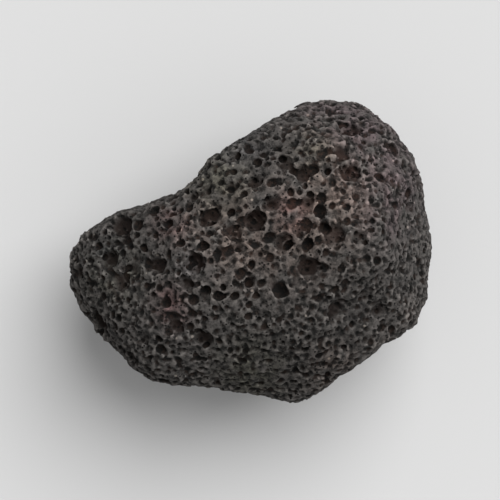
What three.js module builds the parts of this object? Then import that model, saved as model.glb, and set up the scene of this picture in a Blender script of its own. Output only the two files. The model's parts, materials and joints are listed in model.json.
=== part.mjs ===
// A piece of lava rock (vesicular basalt), the size of a small fist, resting on a broken face.
// Millimetres, +Z up. The origin is on the surface the stone rests on, under the middle of its
// bounding box. The stone formed in one piece, so it is one closed solid.
//
// Its form is a reach, or radius, for every direction out of a core point inside it. The reach is
// the smoothed smallest of three things: an upright wall that follows the stone's outline as seen
// from above, a set of flat faces where it broke, and, taken last, the flat face it rests on.
// Hollows and lumps are then taken off and put on along the same directions.

import * as THREE from 'three';
import { ImprovedNoise } from 'three/addons/math/ImprovedNoise.js';
import { mergeVertices } from 'three/addons/utils/BufferGeometryUtils.js';

// Driving dimensions.
const CORE_HEIGHT = 19.5; // core point above the resting face
const ROUNDING = 24; // exponent of the smoothed smallest reach: higher gives sharper edges
const MESH_DETAIL = 17; // subdivisions of each icosahedron edge, about 1.8 mm between vertices
const STONE_COLOUR = 0x3d3937;
const STONE_ROUGHNESS = 0.95;

// The outline seen from above: [x, y] from the core, anticlockwise from the right-hand side.
const OUTLINE = [
  [32.4, -2.5], [32.1, 6.3], [31.8, 13.4], [29.2, 18.8], [23.8, 23.6], [18.8, 27.5],
  [13.8, 28.6], [7.6, 26.8], [-0.6, 22.4], [-7.4, 18.3], [-13.6, 12.2], [-20.0, 9.3],
  [-27.0, 7.0], [-32.6, 3.0], [-35.2, -3.2], [-34.4, -9.8], [-30.8, -15.4], [-25.2, -20.4],
  [-18.0, -24.2], [-8.4, -26.3], [1.6, -27.3], [8.6, -27.8], [15.6, -23.6], [23.8, -17.6],
  [30.2, -12.8],
];

// Broken faces: bearing and tilt of the outward normal in degrees, and reach from the core.
// Bearing is anticlockwise from +X, tilt is up from the horizontal.
const FACES = [
  // the crown and the slopes that fall from it
  { bearing: 70, tilt: 82, reach: 23.4 },
  { bearing: 250, tilt: 69, reach: 24.2 },
  { bearing: 270, tilt: 40, reach: 26.6 },
  { bearing: 318, tilt: 52, reach: 27.6 },
  { bearing: 2, tilt: 33, reach: 30.6 },
  { bearing: 44, tilt: 52, reach: 29.6 },
  { bearing: 88, tilt: 30, reach: 27.6 },
  { bearing: 124, tilt: 52, reach: 23.6 },
  { bearing: 172, tilt: 60, reach: 25.6 },
  { bearing: 206, tilt: 30, reach: 32.4 },
  // the undercut below the widest level
  { bearing: 342, tilt: -43, reach: 26.2 },
  { bearing: 28, tilt: -27, reach: 29.4 },
  { bearing: 72, tilt: -50, reach: 24.2 },
  { bearing: 116, tilt: -26, reach: 22.4 },
  { bearing: 168, tilt: -49, reach: 25.2 },
  { bearing: 214, tilt: -32, reach: 30.2 },
  { bearing: 248, tilt: -55, reach: 23.0 },
  { bearing: 292, tilt: -30, reach: 25.4 },
];

// Shallow hollows: centre from the core, radius at which each has faded to a third, and depth.
const HOLLOWS = [
  { at: [3, 18, 17], radius: 5.5, depth: 1.1 },
  { at: [15, -10, 18], radius: 6.5, depth: 1.0 },
  { at: [-3, 5, 23], radius: 5.0, depth: 0.6 },
  { at: [10, -2, 23], radius: 4.5, depth: 0.5 },
  { at: [-20, 9, 6], radius: 8.0, depth: 1.6 },
  { at: [-10, -25, -2], radius: 8.0, depth: 2.0 },
  { at: [30, 4, -8], radius: 7.0, depth: 1.6 },
  { at: [6, 24, -8], radius: 7.5, depth: 1.8 },
  { at: [-28, -6, -10], radius: 7.0, depth: 1.5 },
];

// Lumps all over: distance between crests and height of each layer of noise.
const LUMPS = [
  { spacing: 21, height: 1.1 },
  { spacing: 9, height: 0.7 },
  { spacing: 4.5, height: 0.42 },
];

/** The reach of the upright outline wall for every bearing, as a closed lookup by whole degrees. */
function outlineReach(points) {
  const corners = points.map(([x, y]) => new THREE.Vector3(x, y, 0));
  const curve = new THREE.CatmullRomCurve3(corners, true, 'centripetal');
  const samples = curve.getPoints(1440).map((p) => ({
    bearing: THREE.MathUtils.euclideanModulo(Math.atan2(p.y, p.x), 2 * Math.PI),
    reach: Math.hypot(p.x, p.y),
  }));
  samples.sort((a, b) => a.bearing - b.bearing);
  return (bearing) => {
    const wanted = THREE.MathUtils.euclideanModulo(bearing, 2 * Math.PI);
    const next = samples.findIndex((s) => s.bearing >= wanted);
    const after = samples[next < 0 ? 0 : next];
    const before = samples[next <= 0 ? samples.length - 1 : next - 1];
    const gap = THREE.MathUtils.euclideanModulo(after.bearing - before.bearing, 2 * Math.PI);
    const share = gap === 0 ? 0
      : THREE.MathUtils.euclideanModulo(wanted - before.bearing, 2 * Math.PI) / gap;
    return THREE.MathUtils.lerp(before.reach, after.reach, share);
  };
}

/** A broken face as its unit normal and its distance from the core. */
function facePlane({ bearing, tilt, reach }) {
  const azimuth = THREE.MathUtils.degToRad(bearing);
  const rise = THREE.MathUtils.degToRad(tilt);
  const normal = new THREE.Vector3(
    Math.cos(azimuth) * Math.cos(rise), Math.sin(azimuth) * Math.cos(rise), Math.sin(rise));
  return { normal, reach };
}

/** The smoothed smallest of several reaches: edges between faces come out worn round. */
function smoothSmallest(reaches) {
  const sum = reaches.reduce((total, reach) => total + reach ** -ROUNDING, 0);
  return sum ** (-1 / ROUNDING);
}

/** How far the stone reaches from its core in a direction, before hollows and lumps. */
function bareReach(direction, wallReach, planes) {
  const level = Math.hypot(direction.x, direction.y);
  const reaches = [wallReach(Math.atan2(direction.y, direction.x)) / Math.max(level, 1e-3)];
  for (const { normal, reach } of planes) {
    const facing = normal.dot(direction);
    if (facing > 0.05) reaches.push(reach / facing);
  }
  return smoothSmallest(reaches);
}

/** What the hollows take off at a point of the surface. */
function hollowDepth(point) {
  return HOLLOWS.reduce((total, { at, radius, depth }) => {
    const away = point.distanceTo(new THREE.Vector3(...at)) / radius;
    return total + depth * Math.exp(-away * away);
  }, 0);
}

/** What the lumps put on at a point of the surface, which may be less than nothing. */
function lumpHeight(point, noise) {
  return LUMPS.reduce((total, { spacing, height }) => {
    const p = point.clone().divideScalar(spacing);
    return total + height * noise.noise(p.x, p.y, p.z);
  }, 0);
}

/** The stone's surface as one closed mesh, standing on its resting face and centred over it. */
function stoneGeometry() {
  const geometry = new THREE.IcosahedronGeometry(1, MESH_DETAIL);
  geometry.deleteAttribute('normal');
  geometry.deleteAttribute('uv');
  const merged = mergeVertices(geometry, 1e-5);
  const position = merged.getAttribute('position');
  const wallReach = outlineReach(OUTLINE);
  const planes = FACES.map(facePlane);
  const noise = new ImprovedNoise();
  const direction = new THREE.Vector3();
  const point = new THREE.Vector3();
  for (let i = 0; i < position.count; i++) {
    direction.fromBufferAttribute(position, i).normalize();
    const bare = bareReach(direction, wallReach, planes);
    point.copy(direction).multiplyScalar(bare);
    const rough = bare - hollowDepth(point) + lumpHeight(point, noise);
    const toRest = direction.z < 0 ? CORE_HEIGHT / -direction.z : Infinity;
    point.copy(direction).multiplyScalar(Math.min(rough, toRest));
    const height = rough >= toRest ? 0 : point.z + CORE_HEIGHT;
    position.setXYZ(i, point.x, point.y, height);
  }
  merged.computeBoundingBox();
  const middle = merged.boundingBox.getCenter(new THREE.Vector3());
  merged.translate(-middle.x, -middle.y, 0);
  merged.computeVertexNormals();
  return merged;
}

const stone = new THREE.Mesh(
  stoneGeometry(),
  new THREE.MeshStandardMaterial({
    color: STONE_COLOUR, roughness: STONE_ROUGHNESS, metalness: 0, flatShading: true,
  }),
);
stone.name = 'lava_rock';

const lavaRock = new THREE.Group();
lavaRock.add(stone);

export default lavaRock;
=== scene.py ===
"""Looks of a lava rock: a hand-sized lump of vesicular basalt, resting on a broken face.

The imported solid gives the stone's outer form. Here it gets its skin of broken rock, its gas
bubbles, cut as real hollows, and its finish, and then it is lit and seen from straight above.
Lengths in the fields are millimetres, as their names say, and Blender's own units are metres.
"""

from __future__ import annotations

import json
import logging
import math
import random
from dataclasses import dataclass, field
from enum import Enum
from itertools import product

import bpy
import numpy as np
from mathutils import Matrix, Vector, noise
from mathutils.bvhtree import BVHTree

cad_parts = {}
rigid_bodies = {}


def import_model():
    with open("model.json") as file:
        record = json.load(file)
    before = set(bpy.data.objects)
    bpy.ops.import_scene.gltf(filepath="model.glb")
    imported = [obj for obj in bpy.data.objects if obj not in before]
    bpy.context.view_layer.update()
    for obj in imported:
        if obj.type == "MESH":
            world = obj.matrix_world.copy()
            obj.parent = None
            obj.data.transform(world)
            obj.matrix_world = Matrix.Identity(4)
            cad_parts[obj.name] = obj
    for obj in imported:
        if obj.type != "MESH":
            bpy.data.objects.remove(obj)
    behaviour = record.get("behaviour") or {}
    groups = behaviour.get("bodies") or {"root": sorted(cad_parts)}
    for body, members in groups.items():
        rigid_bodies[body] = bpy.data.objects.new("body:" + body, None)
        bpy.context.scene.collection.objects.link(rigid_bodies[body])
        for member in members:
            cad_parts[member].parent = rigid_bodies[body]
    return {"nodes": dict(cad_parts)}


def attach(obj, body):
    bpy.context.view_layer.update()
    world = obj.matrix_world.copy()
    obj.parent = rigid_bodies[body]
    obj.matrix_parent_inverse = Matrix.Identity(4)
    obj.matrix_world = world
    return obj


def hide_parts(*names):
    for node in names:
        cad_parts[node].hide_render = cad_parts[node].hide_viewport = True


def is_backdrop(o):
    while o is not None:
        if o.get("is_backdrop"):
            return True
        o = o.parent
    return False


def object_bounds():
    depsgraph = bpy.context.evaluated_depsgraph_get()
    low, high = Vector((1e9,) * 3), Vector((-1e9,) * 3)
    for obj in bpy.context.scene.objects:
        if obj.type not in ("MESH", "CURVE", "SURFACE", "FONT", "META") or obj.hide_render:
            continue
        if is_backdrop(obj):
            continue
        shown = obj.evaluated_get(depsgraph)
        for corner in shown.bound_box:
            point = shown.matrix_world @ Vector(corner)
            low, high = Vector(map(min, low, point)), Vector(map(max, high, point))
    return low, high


log = logging.getLogger("lava_rock")

MM = 0.001
# The least that a size is divided by, so that a face or an edge of no size does no harm.
TINY = 1e-20


def linear_rgba(hex_code: str) -> tuple[float, float, float, float]:
    """Turns an sRGB hex colour into Blender's linear colour.

    Args:
        hex_code: The colour as six hex digits after a hash sign.

    Returns:
        Linear red, green and blue, and an alpha of 1.
    """
    channels = (int(hex_code[i:i + 2], 16) / 255 for i in (1, 3, 5))
    linear = (c / 12.92 if c <= 0.04045 else ((c + 0.055) / 1.055) ** 2.4 for c in channels)
    return (*linear, 1.0)


def select_only(piece: bpy.types.Object) -> None:
    """Selects one object and nothing else, and makes it active.

    Args:
        piece: The object to select.
    """
    if bpy.context.object and bpy.context.object.mode != "OBJECT":
        bpy.ops.object.mode_set(mode="OBJECT")
    bpy.ops.object.select_all(action="DESELECT")
    piece.select_set(True)
    bpy.context.view_layer.objects.active = piece


def apply_modifier(piece: bpy.types.Object, kind: str, **settings: object) -> None:
    """Adds a modifier to a piece, sets it and applies it.

    Args:
        piece: The mesh object to change.
        kind: Blender's name for the modifier.
        **settings: The modifier's settings by name.
    """
    select_only(piece)
    bpy.ops.object.modifier_add(type=kind)
    modifier = piece.modifiers[-1]
    for name, value in settings.items():
        setattr(modifier, name, value)
    bpy.ops.object.modifier_apply(modifier=modifier.name)


def clouds(name: str, spacing_mm: float, depth: int = 2) -> bpy.types.Texture:
    """Makes a soft noise to displace a surface by.

    Args:
        name: The texture's name.
        spacing_mm: The distance between crests of its coarsest layer.
        depth: How many finer layers are added.

    Returns:
        The new texture.
    """
    texture = bpy.data.textures.new(name, "CLOUDS")
    texture.noise_scale = spacing_mm * MM
    texture.noise_depth = depth
    texture.noise_basis = "IMPROVED_PERLIN"
    return texture


def vertex_places(mesh: bpy.types.Mesh) -> np.ndarray:
    """Reads a mesh's vertices.

    Args:
        mesh: The mesh to read.

    Returns:
        An array with one row of x, y and z for each vertex, in metres.
    """
    places = np.empty(len(mesh.vertices) * 3)
    mesh.vertices.foreach_get("co", places)
    return places.reshape(-1, 3)


def mesh_from_arrays(name: str, places: np.ndarray, faces: np.ndarray) -> bpy.types.Object:
    """Makes a mesh object out of arrays and links it to the scene.

    Args:
        name: The object's name.
        places: One row of x, y and z for each vertex.
        faces: One row of three vertex numbers for each triangle.

    Returns:
        The new object, at the origin.
    """
    mesh = bpy.data.meshes.new(name)
    mesh.from_pydata(places.tolist(), [], faces.tolist())
    mesh.update()
    piece = bpy.data.objects.new(name, mesh)
    bpy.context.scene.collection.objects.link(piece)
    return piece


def remove(piece: bpy.types.Object) -> None:
    """Deletes an object and its mesh.

    Args:
        piece: The object to delete.
    """
    mesh = piece.data
    bpy.data.objects.remove(piece)
    bpy.data.meshes.remove(mesh)


@dataclass
class StoneSkin:
    """The stone's outside before any bubble is opened: the solid's form, broken rough.

    The mid level is above a half, so that most of the roughness goes inwards and the skin keeps
    inside the solid's box.
    """

    merge_mm: float = 0.001
    voxel_mm: float = 0.5
    smoothing: float = 0.5
    smooth_passes: int = 6
    swell_spacing_mm: float = 7.0
    swell_depth_mm: float = 1.5
    chip_spacing_mm: float = 2.4
    chip_depth_mm: float = 1.0
    ridge_spacing_mm: float = 3.2
    ridge_depth_mm: float = 0.6
    ridge_octaves: float = 2.5
    ridge_intensity: float = 0.5
    mid_level: float = 0.68
    foot_spare_mm: float = 1.0
    foot_edge_mm: float = 0.15

    def build(self, solid: bpy.types.Object) -> bpy.types.Object:
        """Copies the solid and roughens the copy.

        Args:
            solid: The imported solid, which is left as it is.

        Returns:
            The skin, as a closed mesh object inside the solid's box.
        """
        skin = bpy.data.objects.new("stone_skin", solid.data.copy())
        bpy.context.scene.collection.objects.link(skin)
        select_only(skin)
        bpy.ops.object.mode_set(mode="EDIT")
        bpy.ops.mesh.select_all(action="SELECT")
        bpy.ops.mesh.remove_doubles(threshold=self.merge_mm * MM)
        bpy.ops.mesh.normals_make_consistent(inside=False)
        bpy.ops.object.mode_set(mode="OBJECT")
        apply_modifier(skin, "REMESH", mode="VOXEL", voxel_size=self.voxel_mm * MM)
        apply_modifier(skin, "SMOOTH", factor=self.smoothing, iterations=self.smooth_passes)
        foot = vertex_places(skin.data)[:, 2] < self.foot_edge_mm * MM
        layers = (
            (clouds("swell_noise", self.swell_spacing_mm, 1), self.swell_depth_mm),
            (clouds("chip_noise", self.chip_spacing_mm, 2), self.chip_depth_mm),
            (self.ridges(), self.ridge_depth_mm),
        )
        for texture, depth_mm in layers:
            apply_modifier(skin, "DISPLACE", texture=texture, texture_coords="LOCAL",
                           mid_level=self.mid_level, strength=depth_mm * MM)
        self.level_foot(skin, foot)
        return skin

    def ridges(self) -> bpy.types.Texture:
        """Makes the noise of the sharp ridges between the chips.

        Returns:
            The new texture.
        """
        texture = bpy.data.textures.new("ridge_noise", "MUSGRAVE")
        texture.musgrave_type = "RIDGED_MULTIFRACTAL"
        texture.noise_scale = self.ridge_spacing_mm * MM
        texture.octaves = self.ridge_octaves
        texture.noise_intensity = self.ridge_intensity
        return texture

    def level_foot(self, skin: bpy.types.Object, foot: np.ndarray) -> None:
        """Cuts the foot off flat at the resting level, which the displacements left uneven.

        Args:
            skin: The displaced skin.
            foot: Which vertices were on the solid's flat foot.
        """
        places = vertex_places(skin.data)
        places[foot, 2] = -self.foot_spare_mm * MM
        skin.data.vertices.foreach_set("co", places.ravel())
        skin.data.update()
        select_only(skin)
        bpy.ops.object.mode_set(mode="EDIT")
        bpy.ops.mesh.select_all(action="SELECT")
        bpy.ops.mesh.bisect(plane_co=(0, 0, 0), plane_no=(0, 0, 1), use_fill=True,
                            clear_inner=True)
        bpy.ops.mesh.select_all(action="SELECT")
        bpy.ops.mesh.quads_convert_to_tris()
        bpy.ops.object.mode_set(mode="OBJECT")


@dataclass(frozen=True)
class BubbleSort:
    """One sort of gas bubble, by how wide it opens and how deep it lies.

    How sunk a bubble is says where its centre lies: at 0 on the surface, so that half of it is
    left, towards 1 far inside, so that it is nearly whole, and below 0 outside, so that only a
    shallow bowl is left of it. Of all tries, a share forms where the foam is coarse and another
    where it is fine. Bubbles keep apart by a share of their radii together, and the greater the
    smallness, the more of them are near the least radius.
    """

    name: str
    radius_mm: tuple[float, float]
    sunk: tuple[float, float]
    tries: int
    coarse_share: float
    fine_share: float
    apart: float
    smallness: float = 1.6

    def draw(self, rng: random.Random, coarseness: float) -> tuple[float, float] | None:
        """Draws a bubble of this sort.

        Args:
            rng: The source of chance.
            coarseness: How coarse the foam is at the place, from 0 to 1.

        Returns:
            The radius it opens to in metres and how sunk it is, or nothing where none forms.
        """
        share = self.fine_share + (self.coarse_share - self.fine_share) * coarseness
        if rng.random() > share:
            return None
        low, high = self.radius_mm
        radius = (low + (high - low) * rng.random() ** self.smallness) * MM
        return radius, rng.uniform(*self.sunk)


@dataclass(frozen=True)
class Bubble:
    """One gas bubble: where it opens, which way out is, how wide and how sunk, in metres."""

    mouth: Vector
    outward: Vector
    radius: float
    sunk: float


class Cells:
    """Bubbles sorted into cubes of space, so that a bubble's neighbours are quick to find."""

    def __init__(self, side_mm: float) -> None:
        """Starts with no bubbles.

        Args:
            side_mm: The side of a cube. Bubbles no further apart than this are always compared.
        """
        self.side = side_mm * MM
        self.cubes: dict[tuple[int, ...], list[Bubble]] = {}

    def add(self, bubble: Bubble) -> None:
        """Puts a bubble in its cube."""
        key = tuple(math.floor(v / self.side) for v in bubble.mouth)
        self.cubes.setdefault(key, []).append(bubble)

    def clear_of(self, bubble: Bubble, share: float) -> bool:
        """Tells whether a bubble keeps away from all those here.

        Args:
            bubble: The bubble.
            share: How far apart two must be, as a share of their radii together.

        Returns:
            Whether it does.
        """
        x, y, z = (math.floor(v / self.side) for v in bubble.mouth)
        for key in product((x - 1, x, x + 1), (y - 1, y, y + 1), (z - 1, z, z + 1)):
            for other in self.cubes.get(key, ()):
                if (other.mouth - bubble.mouth).length < (other.radius + bubble.radius) * share:
                    return False
        return True


@dataclass
class BubbleField:
    """Bubbles scattered over a surface, wide ones first and finer ones in what is left.

    The named bubbles have a place of their own: x, y and radius in millimetres, and how sunk.
    The foam is coarse on the crown, an oval on the upper side, and in patches below it.
    """

    sorts: tuple[BubbleSort, ...]
    named_mm: tuple[tuple[float, float, float, float], ...]
    seed: int
    crown_centre_mm: tuple[float, float] = (0.5, 4.0)
    crown_reach_mm: tuple[float, float] = (22.0, 13.5)
    crown_turn_deg: float = 38.0
    crown_height_mm: float = 24.0
    crown_fade_mm: float = 6.0
    patch_spacing_mm: float = 11.0
    patch_contrast: float = 2.5
    cell_share: float = 2.4
    look_from_mm: float = 1000.0

    def scatter(self, surface: bpy.types.Object) -> list[Bubble]:
        """Places bubbles of every sort.

        Args:
            surface: The surface they open through.

        Returns:
            The bubbles, in the order they were placed.
        """
        rng = random.Random(self.seed)
        cells = Cells(self.cell_share * max(sort.radius_mm[1] for sort in self.sorts))
        bubbles = self.named(surface)
        for bubble in bubbles:
            cells.add(bubble)
        places, normals, chance = self.faces(surface.data)
        for sort in self.sorts:
            picks = np.searchsorted(chance, [rng.random() for _ in range(sort.tries)])
            for pick in picks:
                u, v = sorted((rng.random(), rng.random()))
                place = Vector(places[pick].T @ (u, v - u, 1 - v))
                drawn = sort.draw(rng, self.coarseness(place))
                if drawn is None:
                    continue
                bubble = Bubble(place, Vector(normals[pick]), *drawn)
                if cells.clear_of(bubble, sort.apart):
                    cells.add(bubble)
                    bubbles.append(bubble)
        log.info("%d bubbles: %s", len(bubbles), ", ".join(sort.name for sort in self.sorts))
        return bubbles

    def named(self, surface: bpy.types.Object) -> list[Bubble]:
        """Finds where the bubbles with a place of their own open.

        Args:
            surface: The surface they open through.

        Returns:
            The bubbles.
        """
        tree = BVHTree.FromObject(surface, bpy.context.evaluated_depsgraph_get())
        found = []
        for x, y, radius, sunk in self.named_mm:
            eye = Vector((x * MM, y * MM, self.look_from_mm * MM))
            hit = tree.ray_cast(eye, Vector((0, 0, -1)))
            found.append(Bubble(hit[0], hit[1], radius * MM, sunk))
        return found

    def coarseness(self, place: Vector) -> float:
        """Tells how coarse the foam is at a place: on the crown, and in patches lower down.

        Args:
            place: The place.

        Returns:
            A share from 0, fine, to 1, coarse.
        """
        height = (place.z / MM - self.crown_height_mm) / self.crown_fade_mm
        rise = min(1.0, max(0.0, height))
        turn = math.radians(self.crown_turn_deg)
        x, y = place.xy / MM - Vector(self.crown_centre_mm)
        along = (x * math.cos(turn) + y * math.sin(turn)) / self.crown_reach_mm[0]
        across = (y * math.cos(turn) - x * math.sin(turn)) / self.crown_reach_mm[1]
        crown = rise * math.exp(-(along ** 2 + across ** 2) ** 2)
        patch = self.patch_contrast * noise.noise(place / (self.patch_spacing_mm * MM))
        return max(crown, (1 - rise) * min(1.0, max(0.0, patch)))

    @staticmethod
    def faces(mesh: bpy.types.Mesh) -> tuple[np.ndarray, np.ndarray, np.ndarray]:
        """Reads a mesh's triangles for drawing places on them evenly.

        Args:
            mesh: The mesh.

        Returns:
            Each triangle's corners, its normal, and the share of the whole area up to it.
        """
        mesh.calc_loop_triangles()
        corners = np.empty(len(mesh.loop_triangles) * 3, dtype=np.int64)
        mesh.loop_triangles.foreach_get("vertices", corners)
        places = vertex_places(mesh)[corners.reshape(-1, 3)]
        across = np.cross(places[:, 1] - places[:, 0], places[:, 2] - places[:, 0])
        area = np.linalg.norm(across, axis=1)
        return places, across / np.maximum(area, TINY)[:, None], np.cumsum(area) / area.sum()


@dataclass
class BubbleCutter:
    """Turns bubbles into closed lumpy balls and cuts them out of the stone.

    The balls of the different shapes are modelled apart from each other, so that each is swollen
    by another stretch of the same noise.
    """

    seed: int = 23
    shapes: int = 6
    shapes_apart: float = 7.0
    lumpiness: float = 0.42
    lump_size: float = 0.75
    stretch: tuple[float, float] = (0.74, 1.2)
    rings: tuple[int, int] = (2, 3)
    fine_from_mm: float = 0.7
    meeting_share: float = 1.75
    closing_mm: float = 0.11

    def ball(self, number: int, rings: int) -> tuple[np.ndarray, np.ndarray]:
        """Models one bubble of radius 1.

        Args:
            number: Which of the shapes, each lumpy in its own way.
            rings: Subdivisions of the ball.

        Returns:
            Its vertices and its triangles.
        """
        bpy.ops.object.select_all(action="DESELECT")
        bpy.ops.mesh.primitive_ico_sphere_add(subdivisions=rings, radius=1.0,
                                              location=(number * self.shapes_apart, 0, 0))
        bpy.ops.object.transform_apply()
        ball = bpy.context.object
        lumps = clouds(f"bubble_lumps_{number}_{rings}", self.lump_size / MM, 1)
        apply_modifier(ball, "DISPLACE", texture=lumps, texture_coords="LOCAL",
                       strength=self.lumpiness)
        places = vertex_places(ball.data) - (number * self.shapes_apart, 0, 0)
        faces = np.array([face.vertices[:] for face in ball.data.polygons])
        remove(ball)
        return places, faces

    def cut(self, stone: bpy.types.Object, bubbles: list[Bubble]) -> None:
        """Cuts bubbles out of the stone.

        Args:
            stone: The stone, which is changed.
            bubbles: The bubbles.
        """
        rng = np.random.default_rng(self.seed)
        few, many = self.rings
        families = {rings: [self.ball(i, rings) for i in range(self.shapes)]
                    for rings in (few, many)}
        for number, layer in enumerate(self.part(bubbles)):
            places, faces, count = [], [], 0
            for bubble in layer:
                rings = many if bubble.radius > self.fine_from_mm * MM else few
                ball, corners = families[rings][rng.integers(self.shapes)]
                places.append(self.place(ball, bubble, rng))
                faces.append(corners + count)
                count += len(ball)
            tool = mesh_from_arrays(f"bubble_cutter_{number}", np.vstack(places),
                                    np.vstack(faces))
            apply_modifier(stone, "BOOLEAN", object=tool, operation="DIFFERENCE",
                           solver="MANIFOLD")
            remove(tool)
        log.info("stone cut: %d faces", len(stone.data.polygons))

    def place(self, ball: np.ndarray, bubble: Bubble, rng: np.random.Generator) -> np.ndarray:
        """Turns, stretches and moves a ball to where a bubble is.

        Args:
            ball: The vertices of a ball of radius 1.
            bubble: The bubble.
            rng: The source of chance.

        Returns:
            The moved vertices.
        """
        radius = (bubble.radius + self.closing_mm * MM) / math.sqrt(1 - bubble.sunk ** 2)
        turn, _ = np.linalg.qr(rng.normal(size=(3, 3)))
        turn[:, 0] *= np.linalg.det(turn)
        stretched = (ball * rng.uniform(*self.stretch, size=3)) @ turn
        return stretched * radius + np.array(bubble.mouth - bubble.outward * radius * bubble.sunk)

    def part(self, bubbles: list[Bubble]) -> list[list[Bubble]]:
        """Parts the bubbles into layers, so that balls that meet are in different layers.

        Args:
            bubbles: The bubbles.

        Returns:
            The layers.
        """
        side = 2 * self.meeting_share * max(b.radius for b in bubbles) / MM
        layers: list[tuple[list[Bubble], Cells]] = []
        for bubble in bubbles:
            for layer, cells in layers:
                if cells.clear_of(bubble, self.meeting_share):
                    break
            else:
                layer, cells = [], Cells(side)
                layers.append((layer, cells))
            layer.append(bubble)
            cells.add(bubble)
        return [layer for layer, _ in layers]


BOWLS = (
    BubbleSort("bowls", radius_mm=(1.2, 2.1), sunk=(-0.45, 0.05), tries=1000,
               coarse_share=0.5, fine_share=0.05, apart=1.0),
)
PORES = (
    BubbleSort("deep bubbles", radius_mm=(0.6, 1.0), sunk=(0.25, 0.6), tries=1400,
               coarse_share=0.45, fine_share=0.06, apart=1.25, smallness=2.0),
    BubbleSort("middling bubbles", radius_mm=(0.38, 0.62), sunk=(-0.1, 0.55), tries=11000,
               coarse_share=0.28, fine_share=0.6, apart=1.15),
    BubbleSort("small bubbles", radius_mm=(0.28, 0.42), sunk=(0.1, 0.55), tries=30000,
               coarse_share=0.5, fine_share=1.0, apart=0.98),
)
# The widest hollows of the upper side, and below them its widest and deepest bubbles: each one's
# x, y and radius in millimetres, and how sunk it is.
NAMED_BOWLS_MM = (
    (1.0, 5.3, 2.1, 0.2), (-7.0, 5.7, 1.8, 0.1), (-2.9, 3.6, 1.6, 0.0), (3.8, 8.1, 1.6, 0.2),
    (10.3, -2.9, 1.9, 0.1), (-9.8, -2.3, 1.8, -0.1), (0.1, -5.7, 1.4, 0.0),
    (1.0, 12.4, 1.4, 0.0), (9.1, 13.4, 1.4, 0.1), (6.0, 15.5, 1.5, -0.2),
    (-2.5, 17.1, 1.7, -0.4), (16.8, 17.5, 1.4, 0.2), (29.0, 7.7, 1.3, -0.3),
    (-25.1, -1.5, 1.4, 0.0), (-20.8, -3.0, 1.4, -0.3), (-11.2, -6.0, 1.25, 0.1),
)
NAMED_PORES_MM = (
    (-3.4, 6.6, 0.8, 0.5), (-3.6, -0.1, 1.05, 0.3), (-8.1, 0.8, 0.85, 0.5), (-6.9, -1.8, 0.5, 0.5),
    (0.0, 1.5, 0.5, 0.5), (1.2, 1.0, 0.55, 0.5), (6.7, 0.8, 0.95, 0.5), (11.9, 1.6, 0.6, 0.5),
    (13.3, -0.3, 0.6, 0.5), (12.6, 9.0, 0.7, 0.5), (10.9, 14.0, 0.95, 0.5), (13.6, 13.6, 0.8, 0.5),
    (4.8, 17.9, 0.6, 0.4), (-2.8, 13.9, 0.55, 0.4), (-1.1, 9.9, 0.6, 0.5), (7.3, 8.1, 0.9, 0.3),
    (3.6, -1.3, 0.7, 0.4), (4.7, -6.8, 1.15, 0.4), (-7.7, -7.1, 0.9, 0.5), (-5.3, -8.2, 0.85, 0.5),
    (-2.7, -5.8, 0.5, 0.5), (-2.7, -8.0, 0.7, 0.4), (-0.1, -9.6, 0.65, 0.4),
    (-0.2, -11.6, 0.6, 0.4), (12.3, -8.5, 0.65, 0.4), (-3.3, 10.6, 0.75, 0.3),
    (22.9, 13.0, 0.9, 0.4), (13.5, 3.6, 0.85, 0.5), (-18.5, -2.2, 0.8, 0.4),
    (-9.9, -8.8, 0.9, 0.3), (-18.3, -6.6, 0.6, 0.4), (-26.4, -8.4, 0.8, 0.3),
    (-14.8, -9.2, 0.8, 0.4), (-14.0, -14.2, 0.7, 0.4), (-10.2, -11.4, 0.8, 0.3),
    (-8.0, -12.2, 0.6, 0.3), (-22.9, -14.5, 0.6, 0.3), (-5.4, -16.2, 0.6, 0.3),
    (6.8, 21.4, 0.6, 0.3), (8.2, 21.9, 0.5, 0.4), (9.6, 22.3, 0.45, 0.4), (11.1, 22.5, 0.5, 0.4),
    (12.6, 22.2, 0.6, 0.4), (14.0, 21.4, 0.45, 0.4), (2.2, 6.3, 0.6, 0.3), (0.1, 4.2, 0.5, 0.3),
    (-8.2, 5.0, 0.5, 0.3), (-6.1, 6.8, 0.5, 0.3), (2.9, 9.0, 0.5, 0.3), (4.9, 7.4, 0.45, 0.3),
    (11.8, -2.1, 0.55, 0.3), (9.1, -4.0, 0.45, 0.3),
)


class Tint(Enum):
    """What a patch of the rock leans to, as the colour that neutral grey turns there; two are
    painted light and painted shade.
    """

    RUST = "#857f7c"
    PINK = "#917f80"
    MAUVE = "#867f83"
    OLIVE = "#80827a"
    SLATE = "#7b7e83"
    # Painted light: paler patches where the upper side catches the most light, and a thin lit strip
    # along its lower right edge.
    PALE = "#989695"
    # Painted shade: darker grey for the slopes that face away from the light and for the shaded
    # left side, not a darker glass.
    GLASSY = "#6e6e6e"


@dataclass(frozen=True)
class TintPatch:
    """A patch of tint round a place on the stone, in millimetres."""

    tint: Tint
    place_mm: tuple[float, ...]
    reach_mm: float

    def cover(self, places_mm: np.ndarray) -> np.ndarray:
        """Tells how strongly the patch covers each place.

        A patch with a place of two numbers is seen from above, and covers what lies under it.

        Args:
            places_mm: One row of x, y and z for each place.

        Returns:
            A share from 0 to 1 for each place.
        """
        away = places_mm[:, :len(self.place_mm)] - self.place_mm
        return np.exp(-(away ** 2).sum(axis=1) / self.reach_mm ** 2)
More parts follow.
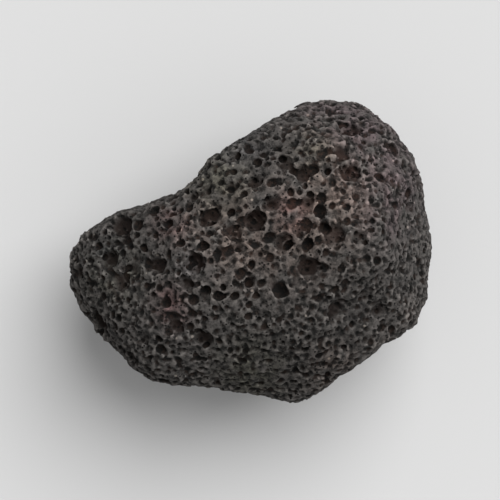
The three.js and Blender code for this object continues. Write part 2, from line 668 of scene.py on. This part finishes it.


# Stains, painted light and painted shade of the upper side: x, y and reach in millimetres, tint by
# tint.
STAINS_AND_PAINTED_LIGHT_MM = {
    Tint.RUST: ((-3.0, 3.0, 8.0), (8.0, 1.0, 9.0), (15.0, 9.0, 7.0), (15.0, -19.7, 3.5)),
    Tint.MAUVE: ((14.0, 24.0, 6.0), (22.0, 20.0, 7.0), (26.0, 12.0, 6.0), (24.0, 5.0, 4.0)),
    Tint.PINK: ((-14.0, 4.6, 3.0), (-13.4, -11.6, 2.6), (-14.6, -8.2, 2.5), (7.3, 6.5, 3.0)),
    Tint.OLIVE: ((-24.4, -4.0, 5.0), (0.5, -22.0, 6.0), (-5.3, 12.7, 5.0), (11.5, 18.5, 4.0)),
    Tint.SLATE: ((-1.2, 19.1, 4.0), (-10.5, -2.3, 2.5), (-25.6, -1.2, 3.0)),
    # Painted light: the brightest places of the upper side, and a thin lit strip along the lower
    # right edge.
    Tint.PALE: ((18.0, 13.0, 6.0), (12.0, 9.0, 10.0), (-3.0, -3.0, 5.0), (-10.0, 3.0, 5.0),
                (12.0, -24.0, 2.5), (18.0, -20.5, 2.5), (24.0, -16.5, 2.5), (29.0, -12.0, 2.5)),
    # Painted shade: darker patches where the slopes of the upper side lie in shade.
    Tint.GLASSY: ((18.0, -11.5, 8.0), (17.0, -15.0, 5.0), (4.0, 18.0, 5.0), (-21.0, 5.0, 8.0),
                  (-2.0, -13.0, 5.0), (-19.0, -18.0, 8.0), (6.0, -20.0, 8.0)),
}


@dataclass
class StainsAndPaintedLight:
    """The stone's tints: stains, painted light and painted shade with a place of their own, and
    more stains round its lower sides.
    """

    tint_patches: tuple[TintPatch, ...] = tuple(
        TintPatch(tint, (x, y), reach) for tint, spots in STAINS_AND_PAINTED_LIGHT_MM.items() for x, y, reach in spots)
    seed: int = 41
    low_stains: int = 16
    low_reach_mm: tuple[float, float] = (3.0, 8.0)
    low_height_mm: float = 20.0
    edge_spacing_mm: float = 2.4
    edge_raggedness: float = 1.2
    mean_cover: float = 0.75
    neutral: str = "#808080"

    def dress(self, stone: bpy.types.Object) -> None:
        """Writes the tint of each vertex, as the share it keeps of red, green and blue.

        Args:
            stone: The finished mesh, which gets the attribute.
        """
        mesh = stone.data
        places_mm = vertex_places(mesh) / MM
        edge = np.array([noise.noise(Vector(place)) for place in places_mm / self.edge_spacing_mm])
        grey = linear_rgba(self.neutral)[0]
        kept = np.ones((len(places_mm), 4))
        ragged = np.clip(self.mean_cover + self.edge_raggedness * edge, 0, 1)
        # Stains, painted light and painted shade all multiply the colour in the same way.
        for tint_patch in self.tint_patches + self.low(places_mm):
            cover = tint_patch.cover(places_mm) * ragged
            share = np.array(linear_rgba(tint_patch.tint.value)[:3]) / grey
            kept[:, :3] *= 1 + cover[:, None] * (share - 1)
        layer = mesh.attributes.new("tint", "FLOAT_COLOR", "POINT")
        layer.data.foreach_set("color", kept.ravel().astype(np.float32))

    def low(self, places_mm: np.ndarray) -> tuple[TintPatch, ...]:
        """Draws the stains of the lower sides.

        Args:
            places_mm: One row of x, y and z for each vertex.

        Returns:
            The stains.
        """
        rng = np.random.default_rng(self.seed)
        low = places_mm[places_mm[:, 2] < self.low_height_mm]
        tints = (Tint.RUST, Tint.MAUVE, Tint.PINK, Tint.OLIVE, Tint.SLATE)
        return tuple(TintPatch(tints[number % len(tints)], tuple(low[rng.integers(len(low))]),
                           rng.uniform(*self.low_reach_mm)) for number in range(self.low_stains))


def add_node(tree: bpy.types.NodeTree, kind: str, inputs: dict[str | int, object] | None = None,
             **settings: object) -> bpy.types.Node:
    """Adds a node with its settings, values and links.

    Args:
        tree: The node tree.
        kind: Blender's name for the node.
        inputs: Values or output sockets for its inputs, by name or number.
        **settings: The node's own settings by name.

    Returns:
        The new node.
    """
    node = tree.nodes.new(kind)
    for name, value in settings.items():
        setattr(node, name, value)
    for key, value in (inputs or {}).items():
        if isinstance(value, bpy.types.NodeSocket):
            tree.links.new(value, node.inputs[key])
        else:
            node.inputs[key].default_value = value
    return node


# Where the Mix node takes its share and its two colours, and where it gives the mixed colour.
MIX_SHARE, MIX_UNDER, MIX_OVER, MIX_RESULT = 0, 6, 7, 2


@dataclass(frozen=True)
class Coat:
    """A colour that covers the rock by some measure of it, such as how deep in a bubble it is.

    It covers nothing at the first limit and all at the second, whichever is the greater.
    """

    colour: str
    none_at: float
    full_at: float

    def lay(self, tree: bpy.types.NodeTree, measure: bpy.types.NodeSocket,
            under: bpy.types.NodeSocket | tuple[float, ...],
            over: bpy.types.NodeSocket | None = None,
            ) -> tuple[bpy.types.NodeSocket, bpy.types.NodeSocket]:
        """Lays the coat over a colour.

        Args:
            tree: The node tree.
            measure: The socket of the measure.
            under: The colour it covers, or its socket.
            over: The socket of a colour to lay in place of the coat's own.

        Returns:
            The sockets of the mixed colour and of how far the coat covers.
        """
        cover = add_node(tree, "ShaderNodeMapRange", {
            "Value": measure, "From Min": self.none_at, "From Max": self.full_at},
            interpolation_type="SMOOTHSTEP").outputs["Result"]
        colour = linear_rgba(self.colour) if over is None else over
        mixed = add_node(tree, "ShaderNodeMix", {
            MIX_SHARE: cover, MIX_UNDER: under, MIX_OVER: colour}, data_type="RGBA")
        return mixed.outputs[MIX_RESULT], cover


@dataclass(frozen=True)
class BrokenBasalt:
    """Vesicular basalt, broken and tumbled: matt charcoal with paler rims, partly worn and partly a
    painted highlight.

    The glassy groundmass is near black and weathers to grey in mottles. The rims between bubbles
    are paler, partly worn by handling and partly painted highlight that stands for the light on
    their relief. The rock is painted darker the deeper it lies in a bowl or bubble, as painted
    shade, and near black in tiny pits, also painted shade; in the bubbles this shade is mottled
    with the dark brown of their glassy skin. Here and there a pale speck is painted as a crystal's
    glint, and iron turns the rock rusty or mauve in patches. Pores trap the light, so nothing on it
    is glossy. Its real grain is under 0.1 mm, too fine to show, and is drawn at 0.3 mm.
    """

    groundmass: str = "#1b1a19"
    weathered: Coat = Coat("#484543", none_at=0.58, full_at=0.92)
    # Painted shade: dark brown laid on the deeper the rock lies below the uncut skin, in bowls and
    # bubbles.
    bowl_shade: Coat = Coat("#1e1714", none_at=0.3, full_at=1.6)
    # Partly wear and partly painted highlight: convex rims are painted paler, also standing for the
    # light on their relief.
    worn_and_lit_rim: Coat = Coat("#827d79", none_at=0.0, full_at=0.66)
    # Painted shade: near black in tiny pits too small to cut, as the shade inside them.
    pit_shade: Coat = Coat("#0b0a09", none_at=0.3, full_at=0.14)
    # Painted glint: sparse pale specks, crystals painted as if catching the light.
    crystal_glint: Coat = Coat("#6f6963", none_at=0.1, full_at=0.07)
    bubble_skin: Coat = Coat("#231b17", none_at=0.68, full_at=0.86)
    # Painted shade: near black deep inside the bubbles, where the light hardly reaches.
    bubble_shade: Coat = Coat("#0b0a09", none_at=0.12, full_at=0.62)
    mottle_mm: float = 1.3
    grain_mm: float = 0.3
    grain_share: float = 0.5
    noise_layers: float = 4.0
    noise_roughness: float = 0.65
    pit_spacing_mm: float = 0.85
    crystal_spacing_mm: float = 3.2
    bump_mm: float = 0.24
    pit_bump: float = -0.8
    roughness: float = 0.92
    specular: float = 0.2

    def make(self) -> bpy.types.Material:
        """Makes the material.

        Returns:
            The material, for a mesh with bowl_depth, bubble_depth, rim and tint attributes.
        """
        material = bpy.data.materials.new("broken_vesicular_basalt")
        material.use_nodes = True
        tree = material.node_tree
        tree.nodes.clear()
        place = add_node(tree, "ShaderNodeTexCoord").outputs["Object"]
        mottle, grain = (add_node(tree, "ShaderNodeTexNoise", {
            "Vector": place, "Scale": 1 / (spacing * MM), "Detail": self.noise_layers,
            "Roughness": self.noise_roughness}).outputs["Fac"]
            for spacing in (self.mottle_mm, self.grain_mm))
        both = add_node(tree, "ShaderNodeMath", {0: grain, 1: self.grain_share, 2: mottle},
                        operation="MULTIPLY_ADD").outputs["Value"]
        pits, crystals = (add_node(tree, "ShaderNodeTexVoronoi", {
            "Vector": place, "Scale": 1 / (spacing * MM), "Randomness": 1.0}).outputs["Distance"]
            for spacing in (self.pit_spacing_mm, self.crystal_spacing_mm))
        rim, bubble_depth, bowl_depth = (
            add_node(tree, "ShaderNodeAttribute", attribute_name=name).outputs["Fac"]
            for name in ("rim", "bubble_depth", "bowl_depth"))
        stone, _ = self.weathered.lay(tree, both, linear_rgba(self.groundmass))
        # Painted shade, deeper in the hollows.
        stone, _ = self.bowl_shade.lay(tree, bowl_depth, stone)
        # Paler rims: wear and painted highlight.
        stone, _ = self.worn_and_lit_rim.lay(tree, rim, stone)
        # Painted shade in the tiny pits; the same cover also dents them by bump.
        stone, pit_shade = self.pit_shade.lay(tree, pits, stone)
        # Painted glints of crystals.
        stone, _ = self.crystal_glint.lay(tree, crystals, stone)
        # Painted shade inside the bubbles, mottled with the brown of their glassy skin.
        shaded_wall, _ = self.bubble_skin.lay(tree, both, linear_rgba(self.bubble_shade.colour))
        stone, _ = self.bubble_shade.lay(tree, bubble_depth, stone, over=shaded_wall)
        tint = add_node(tree, "ShaderNodeAttribute", attribute_name="tint").outputs["Color"]
        stone = add_node(tree, "ShaderNodeMix", {
            MIX_SHARE: 1.0, MIX_UNDER: stone, MIX_OVER: tint},
            data_type="RGBA", blend_type="MULTIPLY").outputs[MIX_RESULT]
        rough = add_node(tree, "ShaderNodeMath", {0: pit_shade, 1: self.pit_bump, 2: grain},
                         operation="MULTIPLY_ADD")
        bump = add_node(tree, "ShaderNodeBump", {
            "Height": rough.outputs["Value"], "Strength": 1.0, "Distance": self.bump_mm * MM})
        shader = add_node(tree, "ShaderNodeBsdfPrincipled", {
            "Base Color": stone, "Roughness": self.roughness,
            "Specular IOR Level": self.specular, "Normal": bump.outputs["Normal"]})
        add_node(tree, "ShaderNodeOutputMaterial", {"Surface": shader.outputs["BSDF"]})
        return material


@dataclass
class LavaRock:
    """The whole stone: skin, bubbles and grain as one closed mesh, with its stains, painted light
    and shade, and finish.
    """

    skin: StoneSkin = field(default_factory=StoneSkin)
    bowls: BubbleField = field(default_factory=lambda: BubbleField(
        BOWLS, NAMED_BOWLS_MM, seed=5))
    pores: BubbleField = field(default_factory=lambda: BubbleField(
        PORES, NAMED_PORES_MM, seed=11))
    cutter: BubbleCutter = field(default_factory=BubbleCutter)
    voxel_mm: float = 0.25
    grain_spacing_mm: float = 0.8
    grain_depth_mm: float = 0.3
    grain_mid_level: float = 0.6
    triangles: int = 196_000
    sharpest: float = 0.5
    blunt_passes: int = 4
    fold_deg: float = 115.0
    ease_passes: int = 3
    easing: float = 0.5
    ease_repeats: int = 3
    level_below_mm: float = 0.21
    stains_and_painted_light: StainsAndPaintedLight = field(default_factory=StainsAndPaintedLight)
    finish: BrokenBasalt = field(default_factory=BrokenBasalt)
    name: str = "lava_rock_stone"

    def build(self, solid: bpy.types.Object) -> bpy.types.Object:
        """Makes the stone's finished mesh.

        Args:
            solid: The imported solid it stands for.

        Returns:
            The stone.
        """
        whole = self.skin.build(solid)
        bowled = self.copy(whole, "bowled_stone")
        self.cutter.cut(bowled, self.bowls.scatter(whole))
        stone = self.copy(bowled, self.name)
        self.cutter.cut(stone, self.pores.scatter(bowled))
        apply_modifier(stone, "REMESH", mode="VOXEL", voxel_size=self.voxel_mm * MM)
        log.info("remeshed: %d faces", len(stone.data.polygons))
        grain = clouds("grain_noise", self.grain_spacing_mm, 3)
        apply_modifier(stone, "DISPLACE", texture=grain, texture_coords="LOCAL",
                       mid_level=self.grain_mid_level, strength=self.grain_depth_mm * MM)
        stone = self.drop_crumbs(stone)
        share = self.triangles / (2 * len(stone.data.polygons))
        apply_modifier(stone, "DECIMATE", ratio=min(1.0, share), use_collapse_triangulate=True)
        log.info("thinned: %d triangles", len(stone.data.polygons))
        self.blunt(stone)
        self.ease_folds(stone)
        self.settle(stone)
        select_only(stone)
        bpy.ops.object.shade_smooth()
        self.read_surface(stone, whole, bowled)
        remove(whole)
        remove(bowled)
        return stone

    def dress(self, stone: bpy.types.Object) -> None:
        """Gives the stone its stains, its painted light and shade, and its finish.

        Args:
            stone: The finished mesh.
        """
        self.stains_and_painted_light.dress(stone)
        stone.data.materials.clear()
        stone.data.materials.append(self.finish.make())

    @staticmethod
    def copy(piece: bpy.types.Object, name: str) -> bpy.types.Object:
        """Copies a piece and its mesh.

        Args:
            piece: The piece.
            name: The copy's name.

        Returns:
            The copy.
        """
        twin = bpy.data.objects.new(name, piece.data.copy())
        bpy.context.scene.collection.objects.link(twin)
        return twin

    def drop_crumbs(self, stone: bpy.types.Object) -> bpy.types.Object:
        """Deletes the loose crumbs that the cutting leaves between bubbles.

        Args:
            stone: The cut stone.

        Returns:
            The stone without them.
        """
        select_only(stone)
        bpy.ops.object.mode_set(mode="EDIT")
        bpy.ops.mesh.select_all(action="SELECT")
        bpy.ops.mesh.separate(type="LOOSE")
        bpy.ops.object.mode_set(mode="OBJECT")
        parts = sorted(bpy.context.selected_objects, key=lambda o: len(o.data.vertices))
        log.info("%d loose crumbs dropped", len(parts) - 1)
        kept = parts.pop()
        for crumb in parts:
            remove(crumb)
        kept.name = self.name
        return kept

    def blunt(self, stone: bpy.types.Object) -> None:
        """Wears down the splinters that the cutting leaves between bubbles.

        A splinter stands out from its neighbours by more than a share of its edges' length.

        Args:
            stone: The thinned stone.
        """
        for _ in range(self.blunt_passes):
            places, edges = vertex_places(stone.data), self.edges(stone.data)
            sharp = self.sharpness(stone.data, places, edges) > self.sharpest
            places[sharp] = self.neighbour_mean(places, edges)[sharp]
            stone.data.vertices.foreach_set("co", places.ravel())
            stone.data.update()

    def ease_folds(self, stone: bpy.types.Object) -> None:
        """Smooths the surface round the few edges where thinning folded it over.

        An edge is folded where its two faces turn by more than a wide angle.

        Args:
            stone: The thinned stone.
        """
        select_only(stone)
        bpy.ops.object.mode_set(mode="EDIT")
        for _ in range(self.ease_passes):
            bpy.ops.mesh.select_all(action="DESELECT")
            bpy.ops.mesh.edges_select_sharp(sharpness=math.radians(self.fold_deg))
            bpy.ops.mesh.select_more()
            bpy.ops.mesh.vertices_smooth(factor=self.easing, repeat=self.ease_repeats)
        bpy.ops.object.mode_set(mode="OBJECT")

    def settle(self, stone: bpy.types.Object) -> None:
        """Sets the stone's foot flat on the resting level.

        All that lies within a grain's depth of that level is set on it.

        Args:
            stone: The thinned stone.
        """
        places = vertex_places(stone.data)
        places[:, 2] -= places[:, 2].min()
        foot = places[:, 2] < self.level_below_mm * MM
        places[foot, 2] = 0.0
        stone.data.vertices.foreach_set("co", places.ravel())
        stone.data.update()

    def read_surface(self, stone: bpy.types.Object, whole: bpy.types.Object,
                     bowled: bpy.types.Object) -> None:
        """Writes how deep in a bowl or bubble and how far out on a rim each vertex lies.

        Args:
            stone: The finished mesh, which gets the attributes.
            whole: The skin before it was cut.
            bowled: The stone with its bowls but none of its other bubbles.
        """
        mesh = stone.data
        places = vertex_places(mesh)
        points = [Vector(place) for place in places]
        graph = bpy.context.evaluated_depsgraph_get()
        depths = []
        for surface in (whole, bowled):
            tree = BVHTree.FromObject(surface, graph)
            depths.append(np.array([tree.find_nearest(point)[3] for point in points]) / MM)
        edges = self.edges(mesh)
        rim = self.sharpness(mesh, places, edges)
        rim = (rim + self.neighbour_mean(rim, edges)) / 2
        for name, values in (("bowl_depth", depths[0]), ("bubble_depth", depths[1]),
                             ("rim", rim)):
            layer = mesh.attributes.new(name, "FLOAT", "POINT")
            layer.data.foreach_set("value", values.astype(np.float32))
            log.info("%s: %s", name, np.percentile(values, (5, 50, 95)).round(2))

    @staticmethod
    def edges(mesh: bpy.types.Mesh) -> np.ndarray:
        """Reads a mesh's edges, as one row of two vertex numbers for each."""
        edges = np.empty(len(mesh.edges) * 2, dtype=np.int64)
        mesh.edges.foreach_get("vertices", edges)
        return edges.reshape(-1, 2)

    def sharpness(self, mesh: bpy.types.Mesh, places: np.ndarray,
                  edges: np.ndarray) -> np.ndarray:
        """Tells how far each vertex stands out from its neighbours.

        Args:
            mesh: The mesh.
            places: Its vertices.
            edges: Its edges.

        Returns:
            The height over the neighbours' middle as a share of the edges' length, for each vertex.
        """
        normals = np.empty(places.size)
        mesh.vertices.foreach_get("normal", normals)
        length = self.neighbour_mean(
            np.zeros(len(places)), edges,
            np.linalg.norm(places[edges[:, 0]] - places[edges[:, 1]], axis=1))
        out = places - self.neighbour_mean(places, edges)
        return np.einsum("ij,ij->i", out, normals.reshape(-1, 3)) / np.maximum(length, TINY)

    @staticmethod
    def neighbour_mean(values: np.ndarray, edges: np.ndarray,
                       edge_values: np.ndarray | None = None) -> np.ndarray:
        """Averages a value over each vertex's neighbours, or over its edges.

        Args:
            values: One value, or row, for each vertex.
            edges: Pairs of vertex numbers.
            edge_values: Values of the edges, used in place of the neighbours'.

        Returns:
            The means, one for each vertex.
        """
        total = np.zeros_like(values)
        count = np.zeros(len(values))
        for here, there in ((0, 1), (1, 0)):
            share = values[edges[:, there]] if edge_values is None else edge_values
            np.add.at(total, edges[:, here], share)
            np.add.at(count, edges[:, here], 1)
        count = np.maximum(count, 1)
        return total / (count[:, None] if total.ndim > 1 else count)


@dataclass(frozen=True)
class PaleCard:
    """Pale grey card with a matt, uncoated face: a plain ground without shine."""

    colour: str = "#b1b1b1"
    roughness: float = 0.9

    def make(self) -> bpy.types.Material:
        """Makes the material.

        Returns:
            The material.
        """
        material = bpy.data.materials.new("uncoated_pale_card")
        material.use_nodes = True
        shader = material.node_tree.nodes["Principled BSDF"]
        shader.inputs["Base Color"].default_value = linear_rgba(self.colour)
        shader.inputs["Roughness"].default_value = self.roughness
        return material


@dataclass(frozen=True)
class SoftLight:
    """A soft light, so wide and so far that it lights the whole floor evenly.

    It shines from the direction of its place. Its width is the angle that it fills as seen from
    the stone, and its strength is in watts a square metre.
    """

    name: str
    place: tuple[float, float, float]
    width_deg: float
    strength: float

    def hang(self) -> None:
        """Hangs the light."""
        bpy.ops.object.light_add(type="SUN", location=self.place)
        lamp = bpy.context.object
        lamp.name = self.name
        lamp.data.angle = math.radians(self.width_deg)
        lamp.data.energy = self.strength
        lamp.rotation_euler = Vector(self.place).to_track_quat("Z", "Y").to_euler()


@dataclass
class Studio:
    """A pale floor, soft lights and a camera straight above the stone."""

    floor_mm: float = 6000.0
    card: PaleCard = PaleCard()
    lens_mm: float = 150.0
    sensor_mm: float = 36.0
    nearest_mm: float = 10.0
    fill_share: float = 0.74
    room_colour: str = "#ffffff"
    room_strength: float = 0.55
    lights: tuple[SoftLight, ...] = (
        SoftLight("key", (0.28, 0.38, 0.60), 54.0, 4.15),
        SoftLight("fill", (0.55, -0.05, 0.50), 60.0, 0.5),
    )

    def build(self, low: Vector, high: Vector) -> None:
        """Sets the stone's surroundings.

        Args:
            low: The lowest corner of the stone's box.
            high: The highest corner of the stone's box.
        """
        self.floor()
        self.camera(low, high)
        for light in self.lights:
            light.hang()
        world = bpy.data.worlds.new("pale_room")
        world.use_nodes = True
        room = world.node_tree.nodes["Background"]
        room.inputs["Color"].default_value = linear_rgba(self.room_colour)
        room.inputs["Strength"].default_value = self.room_strength
        bpy.context.scene.world = world
        bpy.context.scene.view_settings.view_transform = "Standard"

    def floor(self) -> None:
        """Lays the floor."""
        bpy.ops.mesh.primitive_plane_add(size=self.floor_mm * MM)
        floor = bpy.context.object
        floor.name = "floor"
        floor.data.materials.append(self.card.make())
        floor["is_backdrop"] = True

    def camera(self, low: Vector, high: Vector) -> None:
        """Hangs the camera over the stone, with +Y up in the picture.

        Args:
            low: The lowest corner of the stone's box.
            high: The highest corner of the stone's box.
        """
        middle = (low + high) / 2
        frame_width = (high.x - low.x) / self.fill_share
        distance = frame_width * self.lens_mm / self.sensor_mm
        bpy.ops.object.camera_add(location=(middle.x, middle.y, middle.z + distance),
                                  rotation=(0, 0, 0))
        camera = bpy.context.object
        camera.data.lens = self.lens_mm
        camera.data.sensor_width = self.sensor_mm
        camera.data.clip_start = self.nearest_mm * MM
        bpy.context.scene.camera = camera


def main() -> None:
    """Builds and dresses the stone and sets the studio."""
    logging.basicConfig(level=logging.INFO, format="%(name)s: %(message)s")
    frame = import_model()
    cad_box = [[float(v) for v in corner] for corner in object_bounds()]
    rock = LavaRock()
    stone = rock.build(frame["nodes"]["lava_rock"])
    rock.dress(stone)
    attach(stone, "root")
    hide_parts("lava_rock")
    Studio().build(Vector(cad_box[0]), Vector(cad_box[1]))


if __name__ == "__main__":
    main()
